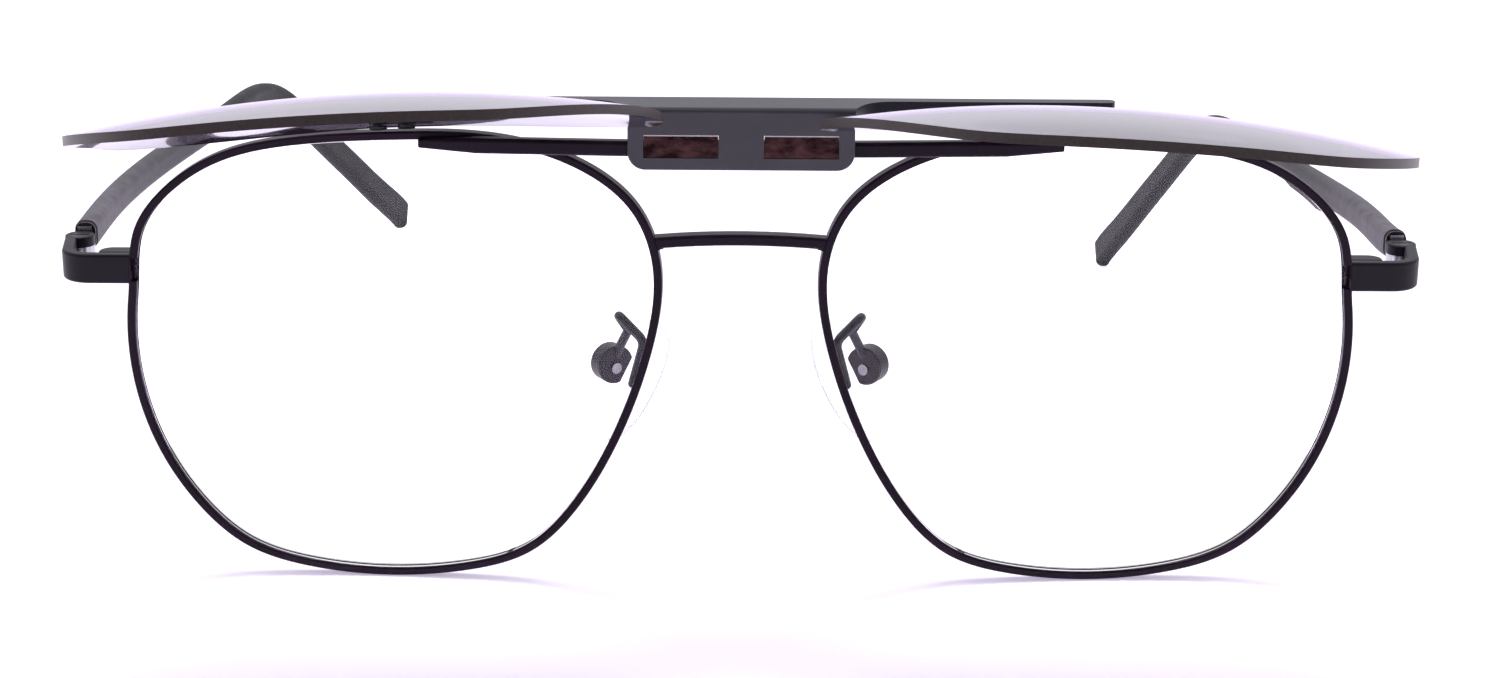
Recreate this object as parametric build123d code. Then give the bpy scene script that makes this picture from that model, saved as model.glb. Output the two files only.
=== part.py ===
from build123d import *
import os
from math import asin, cos, degrees, hypot, radians, sin, sqrt, tan

# Spectacle frame with a magnetic clip-on, standing on a table on its rims and a temple tip.
# The clip is flipped up, as it is worn indoors.
# Millimetres. X runs to the right as seen from the front, Y runs back along the temples, Z is up.
# The origin lies on the table, midway between the lowest points of the two rims.
# Left and right are as seen from the front. The pieces of the front are made for the right
# side, in an upright front whose middle plane is Y = 0. The left side mirrors them, and the
# whole front then leans forward a little at its top.

# Frame front
lens_width = 55.2
lens_height = 48.1
lens_gap = 17.3
rim_wire = 0.9
rim_depth = 1.7
rim_edge_round = 0.22
front_lean = 2.0
front_wrap = 3.0
wrap_start_x = 12.0

# Optical lenses
optical_front_radius = 250.0
optical_thickness = 1.15
optical_front_proud = 0.48
bevel_height = 0.35
bevel_thickness = 0.5
lens_play = 0.03

# Lower bridge
bridge_height = 38.05
bridge_thickness = 1.2
bridge_depth = 1.9
bridge_arch = 0.45
bridge_edge_round = 0.3
bridge_solder_radius = 0.9
bridge_solder_depth = 1.2

# Brow bar, soldered to the front of both rims
bar_size = 1.6
bar_edge_round = 0.4
bar_height = 48.0
bar_reach = 33.0
bar_taper_length = 6.0
bar_tip_height = 0.95
bar_tip_depth = 0.8
bar_tip_round = 0.25
bar_bend_radius = 40.0

# Magnets
magnet_x = 6.1
magnet_length = 7.6
magnet_height = 2.4
magnet_rise = 0.65
magnet_recess = 0.15
magnet_play = 0.04
frame_magnet_length = 7.0
frame_magnet_height = 0.95
frame_magnet_depth = 0.95

# Endpieces
endpiece_reach = 8.55
strap_corner_inset = 1.2
strap_thickness = 1.3
strap_height = 3.15
strap_centre_height = 33.65
strap_bend_radius = 3.3
strap_edge_round = 0.3

# Rim locks, the blocks that close the rims
lock_length = 4.0
lock_depth = 1.8
lock_corner_round = 1.3
lock_slit = 0.12
rim_notch_width = 0.45
rim_notch_depth = 0.9
lock_screw_radius = 0.45
lock_screw_head_radius = 0.65
lock_screw_head_height = 0.35
lock_screw_end_wall = 0.4

# Temple hinges
hinge_setback = 10.1
barrel_radius = 1.55
eye_height = 0.95
knuckle_gap = 0.05
eye_clearance = 0.15
hinge_screw_radius = 0.6
hinge_screw_play = 0.04
hinge_screw_head_radius = 0.95
hinge_screw_head_height = 0.3
screw_slot_width = 0.28
screw_slot_depth = 0.2

# Temples
neck_start = 1.8
neck_width = 1.5
neck_height = 2.3
arm_start = 2.95
arm_rise = 0.9
arm_bow_distance = 30.0
arm_bend_distance = 101.0
arm_bow_radius = 280.0
arm_bend_radius = 26.0
tip_reach = 34.0
tip_drop = 25.8
arm_width = 2.4
arm_height = 3.2
arm_corner_round = 1.0
tip_width = 2.2
tip_height = 4.7
tip_end_round = 0.5
core_width = 1.0
core_height = 1.5
core_corner_round = 0.4
core_play = 0.04
core_end_gap = 12.0
collar_length = 0.8
collar_inset = 0.12

# The two temples of this pair are bent a little differently, as in the photograph
arm_fall_right = 5.2
arm_bow_right = 0.75
arm_toe_in_right = 4.1
tip_inward_right = 10.2
arm_fall_left = 3.0
arm_bow_left = 1.9
arm_toe_in_left = 3.6
tip_inward_left = 14.2

# Nose pads and their arms
pad_wire_radius = 0.5
pad_foot_bottom_height = 21.8
pad_foot_top_height = 26.5
pad_foot_bottom_x = 11.36
pad_foot_top_x = 10.13
pad_foot_sink = 0.1
pad_loop_x = 13.3
pad_loop_setback = 3.1
pad_loop_height = 29.1
pad_drop_x = 12.2
pad_drop_setback = 5.5
pad_drop_height = 26.4
pad_foot_bend_radius = 1.2
pad_loop_bend_radius = 0.8
pad_drop_bend_radius = 1.2
pad_box_x = 14.15
pad_box_setback = 7.0
pad_box_height = 22.2
pad_splay = 35.0
pad_tilt = 31.0
box_radius = 2.1
box_flat_offset = 1.4
box_wall = 0.35
box_edge_round = 0.2
boss_width = 1.2
boss_radius = 1.05
boss_stem_height = 1.5
boss_play = 0.06
boss_swing_room = 0.35
pad_pivot_offset = 0.1
pad_pivot_drop = 0.3
pad_screw_radius = 0.4
pad_screw_play = 0.04
pad_screw_head_radius = 0.6
pad_screw_head_height = 0.25
pad_gap = 0.55
pad_length = 14.0
pad_width = 7.8
pad_thickness = 2.7
pad_edge_round = 1.15
pad_centre_drop = 0.8

# Clip-on
clip_swing_radius = 1.05
sheet_thickness = 1.2
sheet_bend_round = 0.5
plate_half_width = 11.5
plate_top_rise = 4.65
plate_height = 6.45
plate_corner_radius = 1.8
plate_edge_round = 0.2
strip_depth = 5.2
wing_width = 1.6
wing_reach = 38.1
wing_sweep_length = 4.2
clip_lens_width = 55.2
clip_lens_height = 49.0
clip_lens_centre_x = 35.45
clip_lens_radius = 140.0
clip_lens_thickness = 0.9
clip_lens_wrap = 3.1
clip_lens_rise_right = 9.25
clip_lens_rise_left = 11.35
clip_lens_setback = 3.1
clip_lens_lift = 3.3
clip_seat_play = 0.03
clip_ear_length = 6.6
clip_ear_drop = 0.9
clip_screw_x = 35.7
clip_screw_pitch = 2.9
clip_screw_inset = 1.25
clip_screw_radius = 0.45
clip_screw_bite = 0.95
clip_screw_head_radius = 0.9
clip_screw_head_height = 0.28

# Shape of a lens, as shares of half its width and half its height from its centre.
# The first share runs towards the temple, the second upwards.
lens_outline_shares = (
    (1.000, 0.253), (0.990, -0.163), (0.908, -0.453), (0.775, -0.694), (0.598, -0.876),
    (0.355, -0.968), (0.047, -0.999), (-0.263, -0.965), (-0.493, -0.876), (-0.683, -0.659),
    (-0.850, -0.317), (-0.973, 0.096), (-1.000, 0.450), (-0.918, 0.698), (-0.705, 0.890),
    (-0.406, 0.990), (-0.018, 1.000), (0.364, 0.967), (0.640, 0.890), (0.839, 0.746),
    (0.964, 0.553),
)

# Places along a temple arm where its section is set, as shares of the arm's length
arm_station_shares = (0.0, 0.08, 0.2, 0.35, 0.5, 0.62, 0.68, 0.73, 0.78, 0.83, 0.88, 0.94, 1.0)

# Lengths that follow from the sizes above
standing = (Align.CENTER, Align.CENTER, Align.MIN)
half_wire = rim_wire / 2
lens_centre_x = (lens_gap + lens_width) / 2
front_half_width = lens_centre_x + lens_width / 2 + endpiece_reach
half_rim = rim_depth / 2
half_bar = bar_size / 2
overrun = rim_depth
lens_centre_height = lens_height / 2 + half_wire
bar_setback = -half_rim - half_bar
hinge_x = front_half_width - barrel_radius
sides = ("right", "left")
pieces = {}


def outline_points(width, height, grow):
    """Points of a lens outline about its centre, moved outwards by grow."""
    shares = lens_outline_shares
    count = len(shares)
    points = []
    for i in range(count):
        before, after = shares[i - 1], shares[(i + 1) % count]
        run_x = (after[0] - before[0]) * width / 2
        run_z = (after[1] - before[1]) * height / 2
        run = hypot(run_x, run_z)
        x = shares[i][0] * width / 2 - grow * run_z / run
        z = shares[i][1] * height / 2 + grow * run_x / run
        points.append((x, z))
    return points


def outline_slab(width, height, grow, depth):
    """Slab of a lens's outline, centred on Y = 0 and on the lens's centre."""
    curve = Spline(*outline_points(width, height, grow), periodic=True)
    face = Plane.XZ * make_face(Wire([curve]))
    return extrude(face, depth / 2, both=True)


def rim_slab(grow, depth):
    """Slab of the optical lens's outline, in its place in the upright front."""
    return Pos(lens_centre_x, 0, lens_centre_height) * outline_slab(lens_width, lens_height, grow, depth)


def wrapped(shape):
    """Turns a piece of the right side back by the front's wrap."""
    return Pos(wrap_start_x, 0, 0) * Rot(0, 0, front_wrap) * Pos(-wrap_start_x, 0, 0) * shape


def leaned(shape):
    """Leans a piece of the upright front, with its top towards the viewer."""
    return Rot(front_lean, 0, 0) * shape


def sided(shape, side):
    """Leaves a piece of the right side where it is, or mirrors it to the left."""
    return shape if side == "right" else mirror(shape, about=Plane.YZ)


def point_of(x, y, z, moved):
    """Where a function of this file moves a point."""
    place = moved(Pos(x, y, z) * Box(rim_wire, rim_wire, rim_wire)).center()
    return place.X, place.Y, place.Z


def keep_front(name, shape, move=lambda piece: piece):
    """Stores a piece of the front on both sides."""
    for side in sides:
        pieces[f"{name}_{side}"] = leaned(sided(move(shape), side))


# Rims: a wire with a groove inside it, which holds the lens's bevel
rim_outer = rim_slab(half_wire, rim_depth)
rim = rim_outer - rim_slab(-half_wire, rim_depth + overrun)
rim = fillet(rim.edges().filter_by(GeomType.BSPLINE), rim_edge_round)
groove = rim_slab(-half_wire + bevel_height + lens_play, bevel_thickness + 2 * lens_play)
rim = rim - groove
slit_x = lens_centre_x + lens_width / 2
slit = Pos(slit_x, 0, strap_centre_height) * Box(4 * rim_wire, rim_depth + overrun, lock_slit)
rim = rim - slit
notch = Pos(slit_x - half_wire, -half_rim, strap_centre_height) * Box(
    2 * rim_notch_width, 2 * rim_notch_depth, strap_height - 2 * strap_edge_round
)
rim = rim - notch
keep_front("rim", rim, wrapped)

# Optical lenses: a clear meniscus with a flat bevel round its edge
edge_reach = sqrt((lens_width**2 + lens_height**2) / 8)
edge_sag = optical_front_radius - sqrt(optical_front_radius**2 - edge_reach**2)
dome_setback = optical_front_radius - edge_sag - optical_front_proud
dome = Pos(lens_centre_x, dome_setback, lens_centre_height)
lens_body = rim_slab(-half_wire - lens_play, lens_width) & dome * Sphere(optical_front_radius)
lens_body = lens_body - dome * Sphere(optical_front_radius - optical_thickness)
bevel = rim_slab(-half_wire + bevel_height, bevel_thickness)
bevel = bevel - rim_slab(-half_wire - bevel_height, bevel_thickness + overrun)
keep_front("optical_lens", lens_body + bevel, wrapped)

# Lower bridge: a shallow arch between the rims
bridge_end_x = lens_centre_x - lens_width / 2 + rim_wire
bridge_path = ThreePointArc(
    (-bridge_end_x, 0, bridge_height - bridge_arch),
    (0, 0, bridge_height),
    (bridge_end_x, 0, bridge_height - bridge_arch),
)
bridge_plane = Plane(origin=bridge_path @ 0, x_dir=(0, 1, 0), z_dir=bridge_path % 0)
bridge_section = bridge_plane * RectangleRounded(bridge_depth, bridge_thickness, bridge_edge_round)
lower_bridge = sweep(bridge_section, path=bridge_path)
solder_x = lens_centre_x - lens_width / 2 + half_wire / 2
solder_top = bridge_height - bridge_arch
solder_low = solder_top - bridge_thickness / 2 - bridge_solder_radius
solder = Pos(solder_x, 0, (solder_top + solder_low) / 2) * Box(
    2 * bridge_solder_radius, bridge_solder_depth, solder_top - solder_low
)
solder_hollow = Pos(solder_x - bridge_solder_radius, 0, solder_low) * Rot(90, 0, 0) * Cylinder(
    bridge_solder_radius, bridge_solder_depth + overrun
)
solder = solder - solder_hollow
lower_bridge = lower_bridge + solder + mirror(solder, about=Plane.YZ)
rim_cutter = wrapped(rim_slab(half_wire, bridge_depth + overrun))
lower_bridge = lower_bridge - rim_cutter - mirror(rim_cutter, about=Plane.YZ)
pieces["lower_bridge"] = leaned(lower_bridge)

# Brow bar: a square bar that follows the wrap, with ends that taper up and back
taper_x = bar_reach - bar_taper_length
taper_start = point_of(taper_x, bar_setback, bar_height, wrapped)
bar_corner_x = wrap_start_x - bar_setback * tan(radians(front_wrap / 2))
bar_path = FilletPolyline(
    (-taper_start[0], taper_start[1], bar_height),
    (-bar_corner_x, bar_setback, bar_height),
    (bar_corner_x, bar_setback, bar_height),
    (taper_start[0], taper_start[1], bar_height),
    radius=bar_bend_radius,
)
bar_plane = Plane(origin=bar_path @ 0, x_dir=(0, 0, 1), z_dir=bar_path % 0)
brow_bar = sweep(bar_plane * RectangleRounded(bar_size, bar_size, bar_edge_round), path=bar_path)
root_plane = Plane(origin=(taper_x, bar_setback, bar_height), x_dir=(0, 0, 1), z_dir=(1, 0, 0))
tip_plane = Plane(
    origin=(bar_reach, -half_rim - bar_tip_depth / 2, bar_height), x_dir=(0, 0, 1), z_dir=(1, 0, 0)
)
bar_end = loft([
    root_plane * RectangleRounded(bar_size, bar_size, bar_edge_round),
    tip_plane * RectangleRounded(bar_tip_height, bar_tip_depth, bar_tip_round),
])
bar_end = fillet(bar_end.faces().sort_by(Axis.X)[-1].edges(), bar_tip_round / 2)
bar_end = wrapped(bar_end)
brow_bar = brow_bar + bar_end + mirror(bar_end, about=Plane.YZ)

# Frame magnets, set in the underside of the brow bar
bar_low = bar_height - half_bar
frame_magnet_place = Pos(magnet_x, bar_setback, bar_low + frame_magnet_height / 2)
frame_magnet = frame_magnet_place * Box(frame_magnet_length, frame_magnet_depth, frame_magnet_height)
pocket = frame_magnet_place * Box(
    frame_magnet_length + 2 * magnet_play, frame_magnet_depth + 2 * magnet_play, frame_magnet_height
)
keep_front("frame_magnet", frame_magnet)
brow_bar = brow_bar - pocket - mirror(pocket, about=Plane.YZ)
pieces["brow_bar"] = leaned(brow_bar)

# Endpieces: a strap bent back from the rim, curled into the outer knuckles of the hinge
strap_start = point_of(lens_centre_x + lens_width / 2, 0, strap_centre_height, wrapped)
strap_back_x = front_half_width - strap_thickness / 2
strap_path = FilletPolyline(
    (strap_start[0] - rim_wire, strap_start[1], strap_centre_height),
    (strap_back_x - strap_corner_inset, strap_start[1], strap_centre_height),
    (strap_back_x, hinge_setback, strap_centre_height),
    radius=strap_bend_radius - strap_thickness / 2,
)
strap_plane = Plane(origin=strap_path @ 0, x_dir=(0, 1, 0), z_dir=strap_path % 0)
strap = sweep(
    strap_plane * RectangleRounded(strap_thickness, strap_height, strap_edge_round), path=strap_path
)
hinge_place = Pos(hinge_x, hinge_setback, strap_centre_height)
barrel = Cylinder(barrel_radius, strap_height)
barrel = fillet(barrel.edges().filter_by(GeomType.CIRCLE), strap_edge_round / 2)
endpiece = strap + hinge_place * barrel
eye_room = Cylinder(barrel_radius + eye_clearance, eye_height + 2 * knuckle_gap)
endpiece = endpiece - hinge_place * eye_room
endpiece = endpiece - hinge_place * Cylinder(hinge_screw_radius + lens_play, strap_height + overrun)
head_seat_height = strap_height / 2 - hinge_screw_head_height
head_room = Cylinder(hinge_screw_head_radius + lens_play, strap_height, align=standing)
endpiece = endpiece - hinge_place * Pos(0, 0, head_seat_height) * head_room
endpiece = endpiece - wrapped(rim_slab(half_wire, rim_depth + overrun))
keep_front("endpiece", endpiece)

# Hinge screws, with a slotted head let into the top knuckle
hinge_screw = Pos(0, 0, -strap_height / 2) * Cylinder(
    hinge_screw_radius, strap_height - hinge_screw_head_height, align=standing
)
hinge_screw = hinge_screw + Pos(0, 0, head_seat_height) * Cylinder(
    hinge_screw_head_radius, hinge_screw_head_height, align=standing
)
screw_slot = Box(2 * hinge_screw_head_radius + overrun, screw_slot_width, 2 * screw_slot_depth)
hinge_screw = hinge_screw - Pos(0, 0, strap_height / 2) * screw_slot
keep_front("hinge_screw", hinge_place * hinge_screw)

# Rim locks: two halves behind the strap, drawn together by a screw from below
lock_start = strap_start[0] - half_wire
lock_front = strap_start[1] + strap_thickness / 2
lock = Pos(lock_start + lock_length / 2, lock_front + lock_depth / 2, strap_centre_height) * Box(
    lock_length, lock_depth, strap_height
)
lock = fillet(lock.edges().filter_by(Axis.Z).group_by(Axis.X)[-1].sort_by(Axis.Y)[-1], lock_corner_round)
lock = lock - wrapped(rim_outer)
lock_low = strap_centre_height - strap_height / 2
lock_screw_place = Pos(lock_start + lock_length / 2, lock_front + lock_depth / 2, lock_low)
lock_screw_length = strap_height - lock_screw_end_wall
lock = lock - lock_screw_place * Cylinder(
    lock_screw_radius + lens_play, lock_screw_length + lens_play, align=standing
)
lock = lock - lock_screw_place * Cylinder(
    lock_screw_head_radius + lens_play, lock_screw_head_height, align=standing
)
lock_half_height = (strap_height - lock_slit) / 2
lock_half = Box(2 * lock_length + overrun, 2 * lock_depth + overrun, lock_half_height)
lock_middle = Pos(lock_start + lock_length / 2, lock_front + lock_depth / 2, strap_centre_height)
lock_step = (lock_slit + lock_half_height) / 2
keep_front("rim_lock_upper", lock & lock_middle * Pos(0, 0, lock_step) * lock_half)
keep_front("rim_lock_lower", lock & lock_middle * Pos(0, 0, -lock_step) * lock_half)
lock_screw = Cylinder(lock_screw_radius, lock_screw_length, align=standing)
lock_screw = lock_screw + Cylinder(lock_screw_head_radius, lock_screw_head_height, align=standing)
lock_slot = Box(2 * lock_screw_head_radius + overrun, screw_slot_width, 2 * screw_slot_depth)
keep_front("rim_lock_screw", lock_screw_place * (lock_screw - lock_slot))

# Nose pad arms: a wire along the rim's back that loops over to the pad's box
foot_setback = half_rim + pad_wire_radius - pad_foot_sink
pad_path = FilletPolyline(
    (pad_foot_bottom_x, foot_setback, pad_foot_bottom_height),
    (pad_foot_top_x, foot_setback, pad_foot_top_height),
    (pad_loop_x, pad_loop_setback, pad_loop_height),
    (pad_drop_x, pad_drop_setback, pad_drop_height),
    (pad_box_x, pad_box_setback, pad_box_height),
    radius=[pad_foot_bend_radius, pad_loop_bend_radius, pad_drop_bend_radius],
)
pad_arm = sweep(Plane(origin=pad_path @ 0, z_dir=pad_path % 0) * Circle(pad_wire_radius), path=pad_path)
pad_arm = pad_arm + Pos(*(pad_path @ 0)) * Sphere(pad_wire_radius)


def at_pad(shape):
    """Places a piece made about the pad box's centre, with X away from the nose."""
    turned = Rot(0, 0, -pad_splay) * Rot(0, -pad_tilt, 0) * shape
    return Pos(pad_box_x, pad_box_setback, pad_box_height) * turned


# Pad boxes: a D-shaped cup, open towards the nose
box_depth = boss_width + 2 * boss_play + 2 * box_wall
box_face = Circle(box_radius) & Pos(box_radius - box_flat_offset, 0) * Rectangle(
    2 * box_radius, 2 * box_radius
)
pad_box = extrude(Plane.XZ * box_face, box_depth / 2, both=True)
pad_box_solid = pad_box
pad_box = fillet(pad_box.edges().filter_by(GeomType.CIRCLE), box_edge_round)
boss_room_depth = boss_width + 2 * boss_play
boss_room_height = 2 * (boss_radius + boss_swing_room)
boss_room = Pos(-pad_pivot_offset - box_radius, 0, -pad_pivot_drop) * Box(
    2 * (box_radius + boss_radius + boss_play), boss_room_depth, boss_room_height
)
pad_pivot = Pos(-pad_pivot_offset, 0, -pad_pivot_drop)
across = Rot(-90, 0, 0)
pad_screw_hole = pad_pivot * across * Cylinder(pad_screw_radius + lens_play, box_depth + overrun)
pad_box = pad_box - boss_room - pad_screw_hole
keep_front("pad_box", at_pad(pad_box), wrapped)
keep_front("pad_arm", pad_arm - rim_outer - at_pad(pad_box_solid), wrapped)

# Pad screws, with their heads towards the front
pad_screw = pad_pivot * across * Cylinder(pad_screw_radius, box_depth)
pad_head_place = pad_pivot * Pos(0, -(box_depth + pad_screw_head_height) / 2, 0)
pad_screw = pad_screw + pad_head_place * across * Cylinder(pad_screw_head_radius, pad_screw_head_height)
keep_front("pad_screw", at_pad(pad_screw), wrapped)

# Nose pads: a soft clear pad with a boss that turns on the pad screw
pad_back_x = -box_flat_offset - pad_gap
pad_face = Plane.YZ * Ellipse(pad_width / 2, pad_length / 2)
nose_pad = extrude(pad_face, pad_thickness / 2, both=True)
nose_pad = fillet(nose_pad.edges().filter_by(GeomType.ELLIPSE), pad_edge_round)
nose_pad = Pos(pad_back_x - pad_thickness / 2, 0, -pad_centre_drop) * nose_pad
stem_length = -pad_pivot_offset - pad_back_x + pad_thickness / 2
stem = Pos(-pad_pivot_offset - stem_length / 2, 0, -pad_pivot_drop) * Box(
    stem_length, boss_width, boss_stem_height
)
boss = pad_pivot * across * Cylinder(boss_radius, boss_width)
nose_pad = nose_pad + stem + boss
nose_pad = nose_pad - pad_pivot * across * Cylinder(pad_screw_radius + pad_screw_play, box_depth)
keep_front("nose_pad", at_pad(nose_pad), wrapped)


def arm_section(plane, share, shrink=0.0):
    """Section of a temple arm, which grows taller from its bend to its tip."""
    swell = max(0.0, (share - arm_station_shares[4]) / (1 - arm_station_shares[4]))
    width = arm_width + (tip_width - arm_width) * swell
    height = arm_height + (tip_height - arm_height) * swell
    corner = min(arm_corner_round, width * arm_corner_round / arm_width)
    return plane * RectangleRounded(width - 2 * shrink, height - 2 * shrink, corner - shrink)


def temple(side, fall, bow, toe_in, tip_inward):
    """Makes one temple about its hinge axis: core, sleeve and collar, on the right side."""
    path = FilletPolyline(
        (0, arm_start, arm_rise),
        (bow, arm_bow_distance, arm_rise),
        (-toe_in, arm_bend_distance, arm_rise),
        (-toe_in - tip_inward, arm_bend_distance + tip_reach, arm_rise - tip_drop),
        radius=[arm_bow_radius, arm_bend_radius],
    )
    planes = []
    for share in arm_station_shares:
        planes.append(Plane(origin=path @ share, x_dir=(1, 0, 0), z_dir=path % share))
    sleeve = loft([arm_section(plane, share) for plane, share in zip(planes, arm_station_shares)])
    sleeve = fillet(sleeve.faces().sort_by(Axis.Y)[-1].edges(), tip_end_round)
    core_reach = 1 - core_end_gap / path.length
    core_shares = [share * core_reach for share in arm_station_shares]
    core_planes = []
    for share in core_shares:
        core_planes.append(Plane(origin=path @ share, x_dir=(1, 0, 0), z_dir=path % share))
    core = loft([plane * RectangleRounded(core_width, core_height, core_corner_round)
                 for plane in core_planes])
    room = loft([plane * RectangleRounded(core_width + 2 * core_play, core_height + 2 * core_play,
                                          core_corner_round + core_play) for plane in core_planes])
    sleeve = sleeve - room
    start = planes[0]
    collar = extrude(arm_section(start, 0, collar_inset), -collar_length)
    neck_room = extrude(start * Rectangle(neck_width + 2 * core_play, neck_height + 2 * core_play),
                        -collar_length - overrun)
    collar = collar - neck_room
    collar = Rot(-fall, 0, 0) * collar
    sleeve = Rot(-fall, 0, 0) * sleeve
    neck = extrude(start * Rectangle(neck_width, neck_height), -(arm_start - neck_start))
    core = Rot(-fall, 0, 0) * (core + neck)
    eye = Cylinder(barrel_radius, eye_height)
    tongue_length = (neck_start + arm_start) / 2
    tongue = Pos(0, tongue_length / 2, 0) * Box(neck_width, tongue_length, eye_height)
    clear = Cylinder(barrel_radius + 2 * eye_clearance, 2 * strap_height)
    core = (core - clear) + eye + tongue
    core = core - Cylinder(hinge_screw_radius + hinge_screw_play, 2 * strap_height)
    collar = collar - tongue
    for name, shape in (("core", core), ("sleeve", sleeve), ("collar", collar)):
        pieces[f"temple_{name}_{side}"] = leaned(sided(hinge_place * shape, side))


temple("right", arm_fall_right, arm_bow_right, arm_toe_in_right, tip_inward_right)
temple("left", arm_fall_left, arm_bow_left, arm_toe_in_left, tip_inward_left)

# Clip bracket: one sheet, bent into the magnet plate in front and the strip on top
plate_back = bar_setback - clip_swing_radius
plate_front = plate_back - sheet_thickness
plate_top = bar_height + plate_top_rise
strip_low = plate_top - sheet_thickness
strip_back = plate_front + strip_depth
wing_front = strip_back - wing_width
plate = Pos(0, (plate_front + plate_back) / 2, plate_top - plate_height / 2) * Box(
    2 * plate_half_width, sheet_thickness, plate_height
)
plate = fillet(plate.edges().filter_by(Axis.Y).group_by(Axis.Z)[0], plate_corner_radius)
plate_front_edges = plate.faces().sort_by(Axis.Y)[0].edges().sort_by(Axis.Z)[:-1]
plate = fillet(plate_front_edges, plate_edge_round)
wing_tip_x = wing_reach - wing_width / 2
wing_mid = (wing_front + strip_back) / 2
sweep_end_x = plate_half_width + wing_sweep_length
half_strip = [
    Line((0, plate_front), (plate_half_width, plate_front)),
    Bezier(
        (plate_half_width, plate_front),
        (plate_half_width + wing_sweep_length / 6, (plate_front + wing_front) / 2),
        (plate_half_width + wing_sweep_length / 3, wing_front),
        (sweep_end_x, wing_front),
    ),
    Line((sweep_end_x, wing_front), (wing_tip_x, wing_front)),
    ThreePointArc((wing_tip_x, wing_front), (wing_reach, wing_mid), (wing_tip_x, strip_back)),
    Line((wing_tip_x, strip_back), (0, strip_back)),
    Line((0, strip_back), (0, plate_front)),
]
strip = Pos(0, 0, strip_low) * extrude(make_face(half_strip), sheet_thickness)
strip = strip + mirror(strip, about=Plane.YZ)
ear_x = wing_reach - clip_ear_length / 2
ear = Pos(ear_x, wing_mid, strip_low - clip_ear_drop) * extrude(
    SlotOverall(clip_ear_length, wing_width), clip_ear_drop + sheet_thickness / 2
)
bracket = plate + strip
bend_edges = [
    edge for edge in bracket.edges().filter_by(Axis.X)
    if hypot(edge.center().Y - plate_front, edge.center().Z - plate_top) < lens_play
]
bracket = fillet(bend_edges, sheet_bend_round)
bracket = bracket + ear + mirror(ear, about=Plane.YZ)
window_place = Pos(magnet_x, (plate_front + plate_back) / 2, bar_height + magnet_rise)
window = window_place * Box(magnet_length, sheet_thickness + overrun, magnet_height)
bracket = leaned(bracket - window - mirror(window, about=Plane.YZ))
clip_magnet = window_place * Pos(0, magnet_recess / 2, 0) * Box(
    magnet_length - 2 * magnet_play, sheet_thickness - magnet_recess, magnet_height - 2 * magnet_play
)
keep_front("clip_magnet", clip_magnet)

# Clip lenses: thin domed shades, made hanging from their top edge and then flipped up
pivot = point_of(0, bar_setback, bar_height, leaned)
clip_half_height = clip_lens_height / 2
clip_dome_setback = sqrt(clip_lens_radius**2 - clip_half_height**2)
clip_inner_radius = clip_lens_radius - clip_lens_thickness / 2
clip_outer_radius = clip_lens_radius + clip_lens_thickness / 2


def clip_dome(radius):
    """Ball whose surface is a face of a clip lens."""
    return Pos(clip_lens_centre_x, clip_dome_setback, -clip_half_height) * Sphere(radius)


def clip_slab(grow):
    """Slab of the clip lens's outline, hanging from Z = 0."""
    slab = outline_slab(clip_lens_width, clip_lens_height, grow, clip_lens_width)
    return Pos(clip_lens_centre_x, 0, -clip_half_height) * slab


def flipped(shape, rise):
    """Wraps a hanging clip piece and flips it up to its place over the bar."""
    wrap_x = clip_lens_centre_x - clip_lens_width / 2
    shape = Pos(wrap_x, 0, 0) * Rot(0, 0, clip_lens_wrap) * Pos(-wrap_x, 0, 0) * shape
    shape = Rot(-90 - rise, 0, 0) * shape
    return Pos(0, pivot[1] + clip_lens_setback, pivot[2] + clip_lens_lift) * shape


def on_dome(shape, x):
    """Moves a piece from the dome's foremost point to a screw's place near the top edge."""
    up = clip_half_height - clip_screw_inset
    lift_angle = degrees(asin(up / clip_lens_radius))
    side_angle = degrees(asin((x - clip_lens_centre_x) / clip_lens_radius / cos(radians(lift_angle))))
    turned = Rot(0, 0, side_angle) * Rot(-lift_angle, 0, 0) * shape
    return Pos(clip_lens_centre_x, clip_dome_setback, -clip_half_height) * turned


def dome_cylinder(radius, start, length, x):
    """Cylinder square to the dome at a screw's place, from start outwards."""
    upright = Pos(0, -start, 0) * Rot(90, 0, 0) * Cylinder(radius, length, align=standing)
    return on_dome(upright, x)


clip_lens = (clip_slab(0) & clip_dome(clip_outer_radius)) - clip_dome(clip_inner_radius)
seat_cutter = clip_slab(clip_seat_play) & clip_dome(clip_outer_radius + clip_seat_play)
seat_cutter = seat_cutter - clip_dome(clip_inner_radius - clip_ear_drop)
head_seat = sqrt(clip_inner_radius**2 - clip_screw_head_radius**2) - clip_seat_play
shank_length = clip_lens_thickness + clip_screw_bite
screws = []
holes = None
for screw_x in (clip_screw_x - clip_screw_pitch / 2, clip_screw_x + clip_screw_pitch / 2):
    shank = dome_cylinder(clip_screw_radius, head_seat, shank_length, screw_x)
    head = dome_cylinder(
        clip_screw_head_radius, head_seat - clip_screw_head_height, clip_screw_head_height, screw_x
    )
    hole = dome_cylinder(
        clip_screw_radius + clip_seat_play, head_seat, shank_length + clip_seat_play, screw_x
    )
    screws.append(shank + head)
    holes = hole if holes is None else holes + hole
clip_lens = clip_lens - holes

for side, rise in (("right", clip_lens_rise_right), ("left", clip_lens_rise_left)):
    pieces[f"clip_lens_{side}"] = sided(flipped(clip_lens, rise), side)
    placed_screws = [sided(flipped(screw, rise), side).solid() for screw in screws]
    pieces[f"clip_lens_screws_{side}"] = Compound(children=placed_screws)
    bracket = bracket - sided(flipped(seat_cutter, rise), side)
    bracket = bracket - sided(flipped(holes, rise), side)
pieces["clip_bracket"] = bracket

os.makedirs("parts", exist_ok=True)
for name, shape in pieces.items():
    export_step(shape, f"parts/{name}.step")

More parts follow.
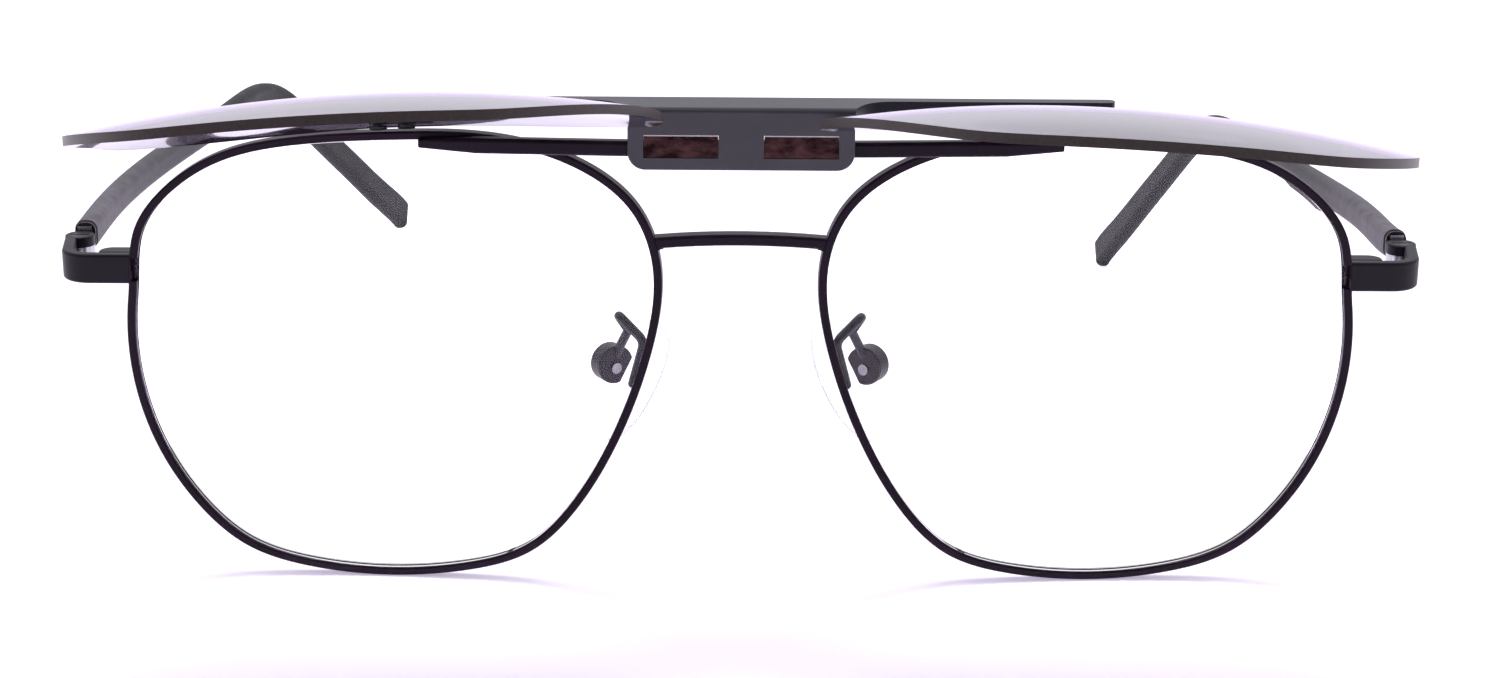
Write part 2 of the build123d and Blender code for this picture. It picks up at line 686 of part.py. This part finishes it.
print("pivot of the clip", pivot)
print("hinge", point_of(hinge_x, hinge_setback, strap_centre_height, leaned))
pad_axis_near = point_of(0, 0, 0, lambda piece: leaned(wrapped(at_pad(pad_pivot * piece))))
pad_axis_far = point_of(0, 1, 0, lambda piece: leaned(wrapped(at_pad(pad_pivot * piece))))
print("pad pivot", pad_axis_near, "axis", [b - a for a, b in zip(pad_axis_near, pad_axis_far)])
for name, shape in pieces.items():
    box = shape.bounding_box()
    print(f"{name:26s} solids {len(shape.solids())}  volume {shape.volume:9.3f}  "
          f"x {box.min.X:8.2f} {box.max.X:8.2f}  y {box.min.Y:8.2f} {box.max.Y:8.2f}  "
          f"z {box.min.Z:8.2f} {box.max.Z:8.2f}")
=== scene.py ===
"""Glasses with a flip-up magnetic clip, standing on their rims on a white table."""

import math

import bmesh
import bpy
from mathutils import Matrix, Vector


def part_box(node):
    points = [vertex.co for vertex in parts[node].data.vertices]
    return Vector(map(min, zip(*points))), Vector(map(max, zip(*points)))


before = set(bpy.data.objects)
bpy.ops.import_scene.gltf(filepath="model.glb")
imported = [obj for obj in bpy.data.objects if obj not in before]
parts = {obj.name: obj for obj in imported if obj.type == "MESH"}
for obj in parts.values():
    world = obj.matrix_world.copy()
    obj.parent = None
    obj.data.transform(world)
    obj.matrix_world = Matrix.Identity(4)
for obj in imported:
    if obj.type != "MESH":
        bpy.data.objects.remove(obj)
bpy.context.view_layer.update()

# Where the camera stands and how near and far it sees, in metres and degrees, with the table at zero
CAMERA_FRONT = 0.280
CAMERA_HEIGHT = 0.1045
CAMERA_PITCH = 15.5
CAMERA_ROLL = 0.37
CAMERA_NEAR = 0.005
CAMERA_FAR = 20.0

# How the lens frames the picture, in pixels of its full width, and the sensor's width in millimetres
PICTURE_WIDTH = 1509.0
FOCAL_PIXELS = 2768.0
CENTRE_PIXELS = 14.5
SENSOR_MM = 36.0

# Table: half its side in metres, its own colour, and the glow that is added where it is seen
TABLE_REACH = 3.0
TABLE_WHITE = (0.80, 0.79, 0.81)
TABLE_GLOW = (0.42, 0.37, 0.50)

# Room: its colour, how much up and back count, the sums of the two at which it is darkest and
# lightest, and how light it is there
ROOM_COLOUR = (0.97, 0.96, 1.0)
ROOM_UP_SHARE = 0.75
ROOM_BACK_SHARE = 0.65
ROOM_DARK_AT = -0.35
ROOM_LIGHT_AT = 0.65
ROOM_DARK = 0.12
ROOM_LIGHT = 0.92
PURE_WHITE = (1.0, 1.0, 1.0)

# Lamp above and behind the glasses, in metres and watts
LAMP_PLACE = (0.0, 0.27, 0.66)
LAMP_AIM = (0.0, -0.01, 0.0)
LAMP_SIZE = 0.26
LAMP_POWER = 2.4
LAMP_COLOUR = (1.0, 0.98, 1.0)

# Top of the magnets in the clip's windows, and how far below it a painted highlight along their
# upper edge begins and is whole, in metres
MAGNET_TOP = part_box("clip_magnet_left")[1][2]
PAINTED_HIGHLIGHT_BEGINS = 0.00016
PAINTED_HIGHLIGHT_WHOLE = 0.00010

# Where the painted sheen greys the temples' plastic wholly and where it is gone, in metres behind the
# front
SLEEVE_SHEEN_WHOLE_AT = 0.020
SLEEVE_SHEEN_GONE_AT = 0.085

# How edge on the smoke lens is seen where it begins to glare, and its glare where it faces the eye
GLARE_BEGINS = 0.76
GLARE_LEAST = 0.05

# How much a smoke lens's surface faces up or down where its edge begins and is whole
LENS_EDGE_BEGINS = 0.72
LENS_EDGE_WHOLE = 0.62

# How edge on a nose pad is seen where it begins to show and is wholly shown, and the least of it
PAD_BEGINS = 0.35
PAD_WHOLE = 0.90
PAD_LEAST = 0.12

# Share of the smear on a clear lens where it was wiped most
WIPED_MOST = 0.006

# Depth of the marks in the surfaces, in metres
FINE_DEPTH = 0.00002
COARSE_DEPTH = 0.00003

# Scale of a pattern: even, drawn out along the temples, or drawn out along the magnets
EVEN = (1.0, 1.0, 1.0)
LONG_IN_Y = (1.0, 0.2, 1.0)
LONG_IN_X = (0.5, 1.0, 1.0)

# Clouds: features in a metre, detail, roughness, and the levels where they begin and are whole
CLOUDS = {
    "hand_wear": (160.0, 4.0, 0.5, 0.35, 0.68),
    "stains": (900.0, 4.0, 0.65, 0.38, 0.66),
    "sheet_coat": (120.0, 4.0, 0.5, 0.35, 0.70),
    "mottle": (420.0, 5.0, 0.7, 0.35, 0.65),
    "plastic": (70.0, 2.0, 0.5, 0.35, 0.65),
    "clear_lens_smear": (60.0, 3.0, 0.5, 0.45, 0.75),
    "smoke_lens_smear": (60.0, 3.0, 0.5, 0.40, 0.75),
    "pad_smear": (90.0, 3.0, 0.5, 0.40, 0.75),
}

# Grains: features in a metre, detail and roughness
GRAINS = {
    "lacquer": (5200.0, 2.0, 0.6),
    "metal_marks": (900.0, 4.0, 0.6),
    "sheet_coat": (4200.0, 3.0, 0.65),
    "plastic": (3600.0, 3.0, 0.7),
    "lens_edge": (2600.0, 3.0, 0.6),
}

# Colours in pairs, the darker one first
FRAME_BLACK = ((0.0110, 0.0036, 0.0130), (0.021, 0.009, 0.024))
END_BLACK = ((0.0095, 0.0070, 0.0135), (0.017, 0.013, 0.023))
PAD_ARM_BLACK = ((0.020, 0.015, 0.023), (0.040, 0.031, 0.044))
COLLAR_BLACK = ((0.016, 0.006, 0.010), (0.030, 0.012, 0.018))
CHARCOAL = ((0.052, 0.050, 0.064), (0.070, 0.066, 0.082))
DARK_STEEL = ((0.035, 0.033, 0.038), (0.085, 0.080, 0.090))
BRIGHT_STEEL = ((0.24, 0.225, 0.25), (0.42, 0.40, 0.44))
CORE_NICKEL = ((0.42, 0.40, 0.43), (0.66, 0.64, 0.68))
STAINED_NICKEL = ((0.010, 0.005, 0.006), (0.060, 0.028, 0.028))
SLEEVE_BLACK = ((0.011, 0.011, 0.013), (0.017, 0.016, 0.019))
# Painted sheen: the grey that the temples' plastic is painted towards the hinge
SLEEVE_SHEEN_GREY = ((0.085, 0.076, 0.094), (0.165, 0.150, 0.180))
LENS_EDGE_BROWN = ((0.036, 0.024, 0.026), (0.075, 0.056, 0.058))

# Single colours; a shade is the colour of the light that falls through onto the table
# Painted highlight: the white along the magnets' upper edge
PAINTED_HIGHLIGHT_WHITE = (0.92, 0.90, 0.94)
CLEAR_GLASS = (0.985, 0.985, 0.99)
CLEAR_SHADE = (0.95, 0.94, 0.97)
WIPE_MARK = (0.9, 0.88, 0.95)
SMOKE_GLASS = (0.15, 0.142, 0.168)
SMOKE_SHADE = (0.20, 0.17, 0.24)
PALE_GLARE = (0.78, 0.74, 0.84)
PAD_GEL = (0.90, 0.89, 0.92)
PAD_SHADE = (0.97, 0.965, 0.98)


class Wire:
    """A shader socket that takes plain arithmetic."""

    def __init__(self, bench, socket):
        self.bench = bench
        self.socket = socket

    def worked_out(self, operation, first, second):
        return self.bench.node("ShaderNodeMath", {"operation": operation}, {0: first, 1: second})

    def __add__(self, other):
        return self.worked_out("ADD", self, other)

    def __radd__(self, other):
        return self.worked_out("ADD", other, self)

    def __sub__(self, other):
        return self.worked_out("SUBTRACT", self, other)

    def __rsub__(self, other):
        return self.worked_out("SUBTRACT", other, self)

    def __mul__(self, other):
        return self.worked_out("MULTIPLY", self, other)

    def __rmul__(self, other):
        return self.worked_out("MULTIPLY", other, self)

    def __abs__(self):
        return self.bench.node("ShaderNodeMath", {"operation": "ABSOLUTE"}, {0: self})


class Bench:
    """The node tree of one finish, and the few things that are done with it again and again."""

    def __init__(self, tree):
        self.tree = tree
        self.tree.nodes.clear()

    def node(self, kind, settings=None, inputs=None, output=0):
        """Adds any node, with its settings and the values or links of its sockets."""
        made = self.tree.nodes.new(kind)
        for name, value in (settings or {}).items():
            setattr(made, name, value)
        for name, value in (inputs or {}).items():
            socket = made.inputs[name]
            if isinstance(value, Wire):
                self.tree.links.new(value.socket, socket)
            elif socket.type == "RGBA":
                socket.default_value = value + (1.0,)
            else:
                socket.default_value = value
        return Wire(self, made.outputs[output])

    def axis(self, vector, name):
        return self.node("ShaderNodeSeparateXYZ", {}, {"Vector": vector}, name)

    def place(self, stretch=EVEN):
        spot = self.node("ShaderNodeTexCoord", output="Object")
        return self.node("ShaderNodeMapping", {}, {"Vector": spot, "Scale": stretch})

    def noise(self, scale, detail, roughness, stretch):
        values = {"Vector": self.place(stretch), "Scale": scale, "Detail": detail, "Roughness": roughness}
        return self.node("ShaderNodeTexNoise", {}, values)

    def grain(self, name, stretch=EVEN):
        scale, detail, roughness = GRAINS[name]
        return self.noise(scale, detail, roughness, stretch)

    def cloud(self, name, stretch=EVEN):
        scale, detail, roughness, begins, whole = CLOUDS[name]
        return self.spread(self.noise(scale, detail, roughness, stretch), begins, whole)

    def spread(self, wire, low, high, to_low=0.0, to_high=1.0):
        """Turns the range from low to high into the one from to_low to to_high, and stays in it."""
        values = {"Value": wire, "From Min": low, "From Max": high, "To Min": to_low, "To Max": to_high}
        return self.node("ShaderNodeMapRange", {"clamp": True}, values)

    def blend(self, share, first, second):
        """Blends two colours, which are this node's sockets 6 and 7, into its output 2."""
        return self.node("ShaderNodeMix", {"data_type": "RGBA"}, {"Factor": share, 6: first, 7: second}, 2)

    def bump(self, height, strength, depth):
        return self.node("ShaderNodeBump", {}, {"Height": height, "Strength": strength, "Distance": depth})

    def edge_on(self):
        """Nought where the surface faces the eye and one where it is seen edge on."""
        return self.node("ShaderNodeLayerWeight", {}, {"Blend": 0.5}, "Facing")

    def ray(self, name):
        """One for rays of the named kind and nought for all others."""
        return self.node("ShaderNodeLightPath", output=name)

    def principled(self, values):
        return self.node("ShaderNodeBsdfPrincipled", {}, values)

    def mix(self, share, first, second):
        return self.node("ShaderNodeMixShader", {}, {0: share, 1: first, 2: second})

    def open_air(self, shade):
        return self.node("ShaderNodeBsdfTransparent", {}, {"Color": shade})

    def see_through(self, shader, shade):
        """Lets light fall through onto the table in the colour of the shade."""
        return self.mix(self.ray("Is Shadow Ray"), shader, self.open_air(shade))

    def surface(self, shader, kind="ShaderNodeOutputMaterial"):
        output = self.tree.nodes.new(kind)
        self.tree.links.new(shader.socket, output.inputs["Surface"])


def finish_named(name):
    material = bpy.data.materials.new(name)
    material.use_nodes = True
    return material, Bench(material.node_tree)


def black_lacquer(name, colours, dullness, shine):
    """Satin black lacquer on metal, a little warmer and lighter where hands rub it."""
    material, bench = finish_named(name)
    wear = bench.cloud("hand_wear")
    grain = bench.grain("lacquer")
    bench.surface(bench.principled({
        "Base Color": bench.blend(wear, *colours),
        "Roughness": dullness + wear * 0.08 + grain * 0.06,
        "Specular IOR Level": shine,
        "Normal": bench.bump(grain, strength=0.12, depth=FINE_DEPTH),
    }))
    return material


def marked_metal(name, colours, dullness, stretch=EVEN):
    """Bare metal with fine marks, which run one way where they are drawn out."""
    material, bench = finish_named(name)
    marks = bench.grain("metal_marks", stretch)
    bench.surface(bench.principled({
        "Base Color": bench.blend(marks, *colours),
        "Metallic": 1.0,
        "Roughness": dullness + marks * 0.12,
        "Normal": bench.bump(marks, strength=0.1, depth=COARSE_DEPTH),
    }))
    return material


def stained_nickel(name):
    """Dark nickel with brown stains, and a painted highlight in white along its upper edge."""
    material, bench = finish_named(name)
    stains = bench.cloud("stains", LONG_IN_X)
    height = bench.axis(bench.place(), "Z")
    # Painted highlight: the upper edge is coloured white and not metal, where the room would shine on it
    painted_highlight = bench.spread(height, MAGNET_TOP - PAINTED_HIGHLIGHT_BEGINS, MAGNET_TOP - PAINTED_HIGHLIGHT_WHOLE)
    face = bench.blend(stains, *STAINED_NICKEL)
    bench.surface(bench.principled({
        "Base Color": bench.blend(painted_highlight, face, PAINTED_HIGHLIGHT_WHITE),
        "Metallic": 1 - painted_highlight,
        "Roughness": 0.10 + stains * 0.10,
    }))
    return material


def charcoal_sheet(name):
    """Satin charcoal coat over the sheet metal of the clip."""
    material, bench = finish_named(name)
    grain = bench.grain("sheet_coat")
    bench.surface(bench.principled({
        "Base Color": bench.blend(bench.cloud("sheet_coat"), *CHARCOAL),
        "Roughness": 0.36 + grain * 0.12,
        "Metallic": 0.35,
        "Normal": bench.bump(grain, strength=0.18, depth=COARSE_DEPTH),
    }))
    return material


def temple_plastic(name):
    """Matt black plastic, greyer and a little mottled towards the hinge, where a sheen is painted on."""
    material, bench = finish_named(name)
    behind = bench.axis(bench.place(), "Y")
    # Painted sheen: the plastic is blended to grey towards the hinge
    painted_sheen = bench.spread(behind, SLEEVE_SHEEN_GONE_AT, SLEEVE_SHEEN_WHOLE_AT)
    mottle = bench.cloud("mottle")
    black = bench.blend(bench.cloud("plastic"), *SLEEVE_BLACK)
    sheen_grey = bench.blend(mottle, *SLEEVE_SHEEN_GREY)
    bench.surface(bench.principled({
        "Base Color": bench.blend(painted_sheen, black, sheen_grey),
        "Roughness": 0.50 + mottle * 0.08,
        "Specular IOR Level": 0.25,
        "Normal": bench.bump(bench.grain("plastic"), strength=0.08, depth=FINE_DEPTH),
    }))
    return material


def clear_lens(name):
    """Clear lens that hardly glares, with the faintest smear where it was wiped."""
    material, bench = finish_named(name)
    glass = bench.principled({
        "Base Color": CLEAR_GLASS,
        "Roughness": 0.0,
        "IOR": 1.18,
        "Transmission Weight": 1.0,
    })
    smear = bench.node("ShaderNodeBsdfGlossy", {}, {"Color": WIPE_MARK, "Roughness": 0.25})
    lens = bench.mix(bench.cloud("clear_lens_smear") * WIPED_MOST, glass, smear)
    bench.surface(bench.see_through(lens, CLEAR_SHADE))
    return material


def smoke_lens(name):
    """Smoke lens with a pale coat, which glares white at a low angle, and a brown edge."""
    material, bench = finish_named(name)
    glass = bench.principled({
        "Base Color": SMOKE_GLASS,
        "Roughness": bench.cloud("smoke_lens_smear") * 0.015,
        "IOR": 1.5,
        "Transmission Weight": 1.0,
    })
    glare = bench.node("ShaderNodeBsdfGlossy", {}, {"Color": PALE_GLARE, "Roughness": 0.06})
    face = bench.mix(bench.spread(bench.edge_on(), GLARE_BEGINS, 1.0, GLARE_LEAST), glass, glare)
    grain = bench.grain("lens_edge")
    edge = bench.principled({
        "Base Color": bench.blend(grain, *LENS_EDGE_BROWN),
        "Roughness": 0.30 + grain * 0.15,
        "Specular IOR Level": 0.45,
    })
    outward = bench.node("ShaderNodeTexCoord", output="Normal")
    at_edge = bench.spread(abs(bench.axis(outward, "Z")), LENS_EDGE_BEGINS, LENS_EDGE_WHOLE)
    bench.surface(bench.see_through(bench.mix(at_edge, face, edge), SMOKE_SHADE))
    return material


def soft_pad(name):
    """Clear soft pad that hardly shows but at its edges."""
    material, bench = finish_named(name)
    gel = bench.principled({
        "Base Color": PAD_GEL,
        "Roughness": 0.08 + bench.cloud("pad_smear") * 0.04,
        "IOR": 1.2,
        "Transmission Weight": 1.0,
    })
    shown = bench.spread(bench.edge_on(), PAD_BEGINS, PAD_WHOLE, PAD_LEAST)
    pad = bench.mix(shown, bench.open_air(PAD_SHADE), gel)
    bench.surface(bench.see_through(pad, PAD_SHADE))
    return material


FRAME_METAL = black_lacquer("frame_black", FRAME_BLACK, dullness=0.30, shine=0.15)
END_METAL = black_lacquer("end_black", END_BLACK, dullness=0.34, shine=0.20)
PAD_METAL = black_lacquer("pad_arm_black", PAD_ARM_BLACK, dullness=0.30, shine=0.40)
COLLAR = black_lacquer("collar_dark", COLLAR_BLACK, dullness=0.25, shine=0.30)
DARK_SCREW = marked_metal("dark_screw", DARK_STEEL, dullness=0.28)
BRIGHT_SCREW = marked_metal("bright_screw", BRIGHT_STEEL, dullness=0.18)
CORE_METAL = marked_metal("core_nickel", CORE_NICKEL, dullness=0.20, stretch=LONG_IN_Y)
MAGNET_METAL = stained_nickel("magnet_nickel")

# Finish of each kind of piece; a piece's name is its kind, and then its side where it has one
FINISH_OF = {
    "rim": FRAME_METAL,
    "lower_bridge": FRAME_METAL,
    "brow_bar": FRAME_METAL,
    "frame_magnet": MAGNET_METAL,
    "endpiece": END_METAL,
    "rim_lock_upper": END_METAL,
    "rim_lock_lower": END_METAL,
    "rim_lock_screw": DARK_SCREW,
    "optical_lens": clear_lens("clear_lens"),
    "hinge_screw": DARK_SCREW,
    "pad_arm": PAD_METAL,
    "pad_box": PAD_METAL,
    "pad_screw": BRIGHT_SCREW,
    "nose_pad": soft_pad("clear_silicone"),
    "temple_core": CORE_METAL,
    "temple_sleeve": temple_plastic("temple_black"),
    "temple_collar": COLLAR,
    "clip_bracket": charcoal_sheet("clip_charcoal"),
    "clip_magnet": MAGNET_METAL,
    "clip_lens": smoke_lens("smoke_lens"),
    "clip_lens_screws": DARK_SCREW,
}


def dress_parts():
    """Gives each solid its finish."""
    for name, part in parts.items():
        kind = name.removesuffix("_left").removesuffix("_right")
        part.data.materials.clear()
        part.data.materials.append(FINISH_OF[kind])


def add_table():
    """A matt white table, which the eye, metal and glass see as white as the room."""
    sheet = bmesh.new()
    bmesh.ops.create_grid(sheet, x_segments=1, y_segments=1, size=TABLE_REACH)
    mesh = bpy.data.meshes.new("table")
    sheet.to_mesh(mesh)
    sheet.free()
    table = bpy.data.objects.new("table", mesh)
    bpy.context.scene.collection.objects.link(table)
    material, bench = finish_named("white_table")
    seen = bench.ray("Is Camera Ray") + bench.ray("Is Glossy Ray") + bench.ray("Is Transmission Ray")
    matt = bench.node("ShaderNodeBsdfDiffuse", {}, {"Color": TABLE_WHITE})
    glow = bench.node("ShaderNodeEmission", {}, {"Color": TABLE_GLOW, "Strength": seen})
    bench.surface(bench.node("ShaderNodeAddShader", {}, {0: matt, 1: glow}))
    table.data.materials.append(material)


def add_room():
    """A pale room, lightest above and behind, and pure white where the camera sees it."""
    world = bpy.data.worlds.new("room")
    world.use_nodes = True
    bpy.context.scene.world = world
    bench = Bench(world.node_tree)
    way = bench.node("ShaderNodeTexCoord", output="Generated")
    height = bench.axis(way, "Z") * ROOM_UP_SHARE + bench.axis(way, "Y") * ROOM_BACK_SHARE
    level = bench.spread(height, ROOM_DARK_AT, ROOM_LIGHT_AT, ROOM_DARK, ROOM_LIGHT)
    room = bench.node("ShaderNodeBackground", {}, {"Color": ROOM_COLOUR, "Strength": level})
    white = bench.node("ShaderNodeBackground", {}, {"Color": PURE_WHITE, "Strength": 1.0})
    both = bench.mix(bench.ray("Is Camera Ray"), room, white)
    bench.surface(both, "ShaderNodeOutputWorld")


def add_lamp():
    """One soft round lamp above and behind, which the lenses don't mirror."""
    lamp = bpy.data.lights.new("top_lamp", "AREA")
    lamp.shape = "DISK"
    lamp.size = LAMP_SIZE
    lamp.energy = LAMP_POWER
    lamp.color = LAMP_COLOUR
    holder = bpy.data.objects.new("top_lamp", lamp)
    bpy.context.scene.collection.objects.link(holder)
    holder.location = LAMP_PLACE
    holder.rotation_euler = (Vector(LAMP_AIM) - Vector(LAMP_PLACE)).to_track_quat("-Z", "Y").to_euler()
    holder.visible_glossy = False


def set_camera():
    """Stands the camera where the picture was taken."""
    lens = bpy.data.cameras.new("camera")
    lens.sensor_width = SENSOR_MM
    lens.lens = SENSOR_MM * FOCAL_PIXELS / PICTURE_WIDTH
    lens.shift_x = CENTRE_PIXELS / PICTURE_WIDTH
    lens.clip_start = CAMERA_NEAR
    lens.clip_end = CAMERA_FAR
    camera = bpy.data.objects.new("camera", lens)
    bpy.context.scene.collection.objects.link(camera)
    turn = Matrix.Rotation(math.radians(90.0 - CAMERA_PITCH), 4, "X")
    roll = Matrix.Rotation(math.radians(CAMERA_ROLL), 4, "Z")
    camera.matrix_world = Matrix.Translation((0.0, -CAMERA_FRONT, CAMERA_HEIGHT)) @ turn @ roll
    bpy.context.scene.camera = camera


set_camera()
add_table()
add_room()
add_lamp()
dress_parts()
bpy.context.scene.view_settings.view_transform = "Standard"
